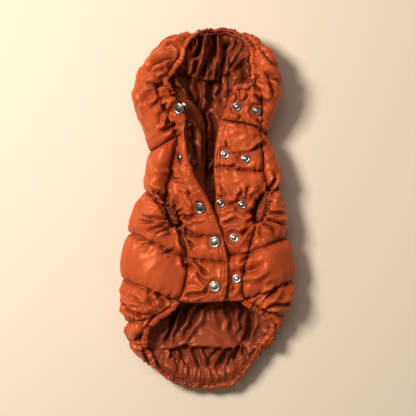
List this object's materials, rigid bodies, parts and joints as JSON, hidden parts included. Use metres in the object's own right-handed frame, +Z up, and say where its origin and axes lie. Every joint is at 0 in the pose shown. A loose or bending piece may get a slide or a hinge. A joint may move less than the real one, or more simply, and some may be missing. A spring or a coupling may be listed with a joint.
{
  "type": "dog winter coat",
  "caption": "Quilted padded dog coat lying open on its back, with funnel collar, snap front, gathered leg holes and gathered tail hem.",
  "frame": {"origin": "middle of the coat's footprint, on the surface that it lies on", "axes": "+X across the coat to the right front, +Y from the tail to the collar, +Z up"},
  "size_m": [0.2063, 0.4332, 0.0644],
  "materials": {
    "shell": "satin nylon, padded",
    "lining": "satin nylon",
    "elastic": "gathered satin nylon",
    "snap": "polished nickel",
    "cap": "dark nickel"
  },
  "bodies": {
    "root": {"back_panel": "shell", "chest_left": "shell", "chest_right": "shell", "collar_front_left": "shell", "collar_back": "shell", "collar_front_right": "shell", "collar_band": "elastic", "hem_band": "elastic", "leg_cuff_left": "elastic", "leg_cuff_right": "elastic", "lining_back": "lining", "lining_collar": "lining", "lining_left": "lining", "snap_cap_1": "cap", "snap_cap_2": "cap", "snap_cap_3": "cap", "snap_cap_4": "cap", "snap_cap_5": "cap", "snap_socket_1": "snap", "snap_socket_2": "snap", "snap_socket_3": "snap", "stud_inner_1": "snap", "stud_inner_2": "snap", "stud_inner_3": "snap", "stud_inner_4": "snap", "stud_inner_5": "snap", "stud_outer_1": "snap", "stud_outer_2": "snap", "stud_outer_3": "snap", "stud_outer_4": "snap", "stud_outer_5": "snap"}
  },
  "joints": []
}
